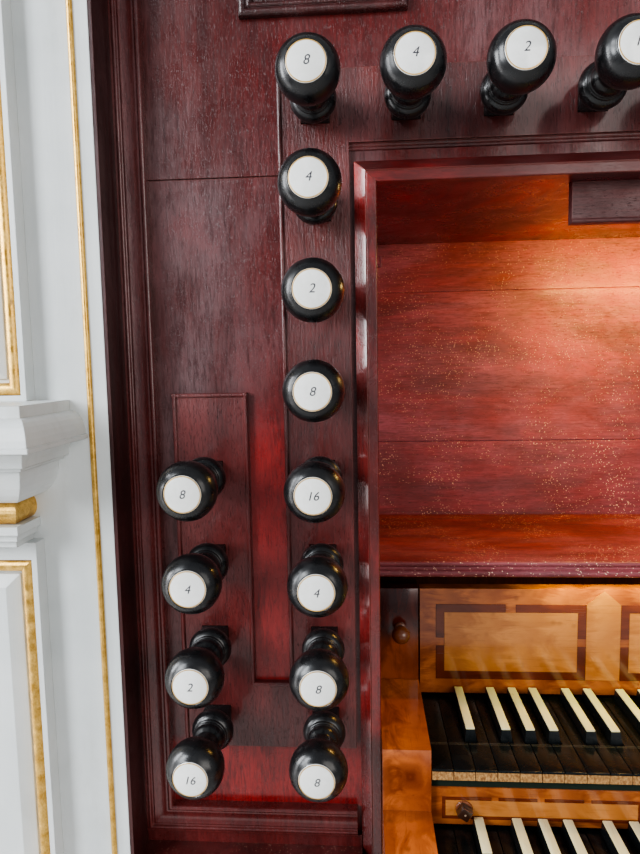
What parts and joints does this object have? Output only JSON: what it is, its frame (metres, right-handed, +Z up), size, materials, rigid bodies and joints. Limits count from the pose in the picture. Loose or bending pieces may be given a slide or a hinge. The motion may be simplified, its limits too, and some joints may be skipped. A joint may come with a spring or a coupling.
{
  "type": "pipe organ console",
  "caption": "Pipe organ console set in its white and gilt case front, with two manuals, a music recess and black drawknobs with porcelain faces.",
  "frame": {"origin": "middle of the box's base, on the floor", "axes": "+X to the player's right, +Y into the organ, +Z up"},
  "size_m": [2.032, 0.605, 2.15],
  "materials": {
    "white_paint": "satin light grey-white paint on wood",
    "gold_leaf": "gilded wood",
    "mahogany": "red-brown stained wood with a glossy varnish",
    "dark_mahogany": "very dark stained wood",
    "amber_wood": "polished orange-brown fruitwood",
    "maple_inlay": "light polished veneer",
    "walnut_inlay": "dark polished veneer",
    "ebony_keys": "black key covers with raw wood fronts",
    "bone_sharps": "black bodies with bone tops",
    "black_lacquer": "black lacquered turned wood with a porcelain plate"
  },
  "bodies": {
    "console": {"plinth": "white_paint", "side_walls": "white_paint", "back_boards": "dark_mahogany", "cornice": "white_paint", "case_frame": "white_paint", "lower_pilasters": "white_paint", "upper_pilasters": "white_paint", "corbels": "white_paint", "gilding": "gold_leaf", "reveal_boards": "dark_mahogany", "surround_moulding": "mahogany", "front_panels": "mahogany", "raised_panels": "mahogany", "stop_boards": "mahogany", "niche_frame": "mahogany", "niche_lining": "mahogany", "music_desk": "mahogany", "desk_ledge": "mahogany", "lamp_board": "dark_mahogany", "nameboard": "amber_wood", "light_inlay": "maple_inlay", "dark_inlay": "walnut_inlay", "end_blocks": "amber_wood", "key_cheeks": "amber_wood", "natural_keys": "ebony_keys", "sharp_keys": "bone_sharps", "manual_rail": "amber_wood", "key_bed": "mahogany", "base_panels": "mahogany", "mirror_drawknobs": "black_lacquer"},
    "knob_corner": {"knob_corner": "black_lacquer"},
    "knob_top_1": {"knob_top_1": "black_lacquer"},
    "knob_top_2": {"knob_top_2": "black_lacquer"},
    "knob_top_3": {"knob_top_3": "black_lacquer"},
    "knob_strip_1": {"knob_strip_1": "black_lacquer"},
    "knob_strip_2": {"knob_strip_2": "black_lacquer"},
    "knob_strip_3": {"knob_strip_3": "black_lacquer"},
    "knob_strip_4": {"knob_strip_4": "black_lacquer"},
    "knob_strip_5": {"knob_strip_5": "black_lacquer"},
    "knob_strip_6": {"knob_strip_6": "black_lacquer"},
    "knob_strip_7": {"knob_strip_7": "black_lacquer"},
    "knob_column_1": {"knob_column_1": "black_lacquer"},
    "knob_column_2": {"knob_column_2": "black_lacquer"},
    "knob_column_3": {"knob_column_3": "black_lacquer"},
    "knob_column_4": {"knob_column_4": "black_lacquer"}
  },
  "joints": [
    {"name": "knob_corner_slide", "type": "slide", "parent": "console", "child": "knob_corner", "axis": [0, -1, 0], "range_m": [0, 0.045]},
    {"name": "knob_top_1_slide", "type": "slide", "parent": "console", "child": "knob_top_1", "axis": [0, -1, 0], "range_m": [0, 0.045]},
    {"name": "knob_top_2_slide", "type": "slide", "parent": "console", "child": "knob_top_2", "axis": [0, -1, 0], "range_m": [0, 0.045]},
    {"name": "knob_top_3_slide", "type": "slide", "parent": "console", "child": "knob_top_3", "axis": [0, -1, 0], "range_m": [0, 0.045]},
    {"name": "knob_strip_1_slide", "type": "slide", "parent": "console", "child": "knob_strip_1", "axis": [0, -1, 0], "range_m": [0, 0.045]},
    {"name": "knob_strip_2_slide", "type": "slide", "parent": "console", "child": "knob_strip_2", "axis": [0, -1, 0], "range_m": [0, 0.045]},
    {"name": "knob_strip_3_slide", "type": "slide", "parent": "console", "child": "knob_strip_3", "axis": [0, -1, 0], "range_m": [0, 0.045]},
    {"name": "knob_strip_4_slide", "type": "slide", "parent": "console", "child": "knob_strip_4", "axis": [0, -1, 0], "range_m": [0, 0.045]},
    {"name": "knob_strip_5_slide", "type": "slide", "parent": "console", "child": "knob_strip_5", "axis": [0, -1, 0], "range_m": [0, 0.045]},
    {"name": "knob_strip_6_slide", "type": "slide", "parent": "console", "child": "knob_strip_6", "axis": [0, -1, 0], "range_m": [0, 0.045]},
    {"name": "knob_strip_7_slide", "type": "slide", "parent": "console", "child": "knob_strip_7", "axis": [0, -1, 0], "range_m": [0, 0.045]},
    {"name": "knob_column_1_slide", "type": "slide", "parent": "console", "child": "knob_column_1", "axis": [0, -1, 0], "range_m": [0, 0.045]},
    {"name": "knob_column_2_slide", "type": "slide", "parent": "console", "child": "knob_column_2", "axis": [0, -1, 0], "range_m": [0, 0.045]},
    {"name": "knob_column_3_slide", "type": "slide", "parent": "console", "child": "knob_column_3", "axis": [0, -1, 0], "range_m": [0, 0.045]},
    {"name": "knob_column_4_slide", "type": "slide", "parent": "console", "child": "knob_column_4", "axis": [0, -1, 0], "range_m": [0, 0.045]}
  ]
}
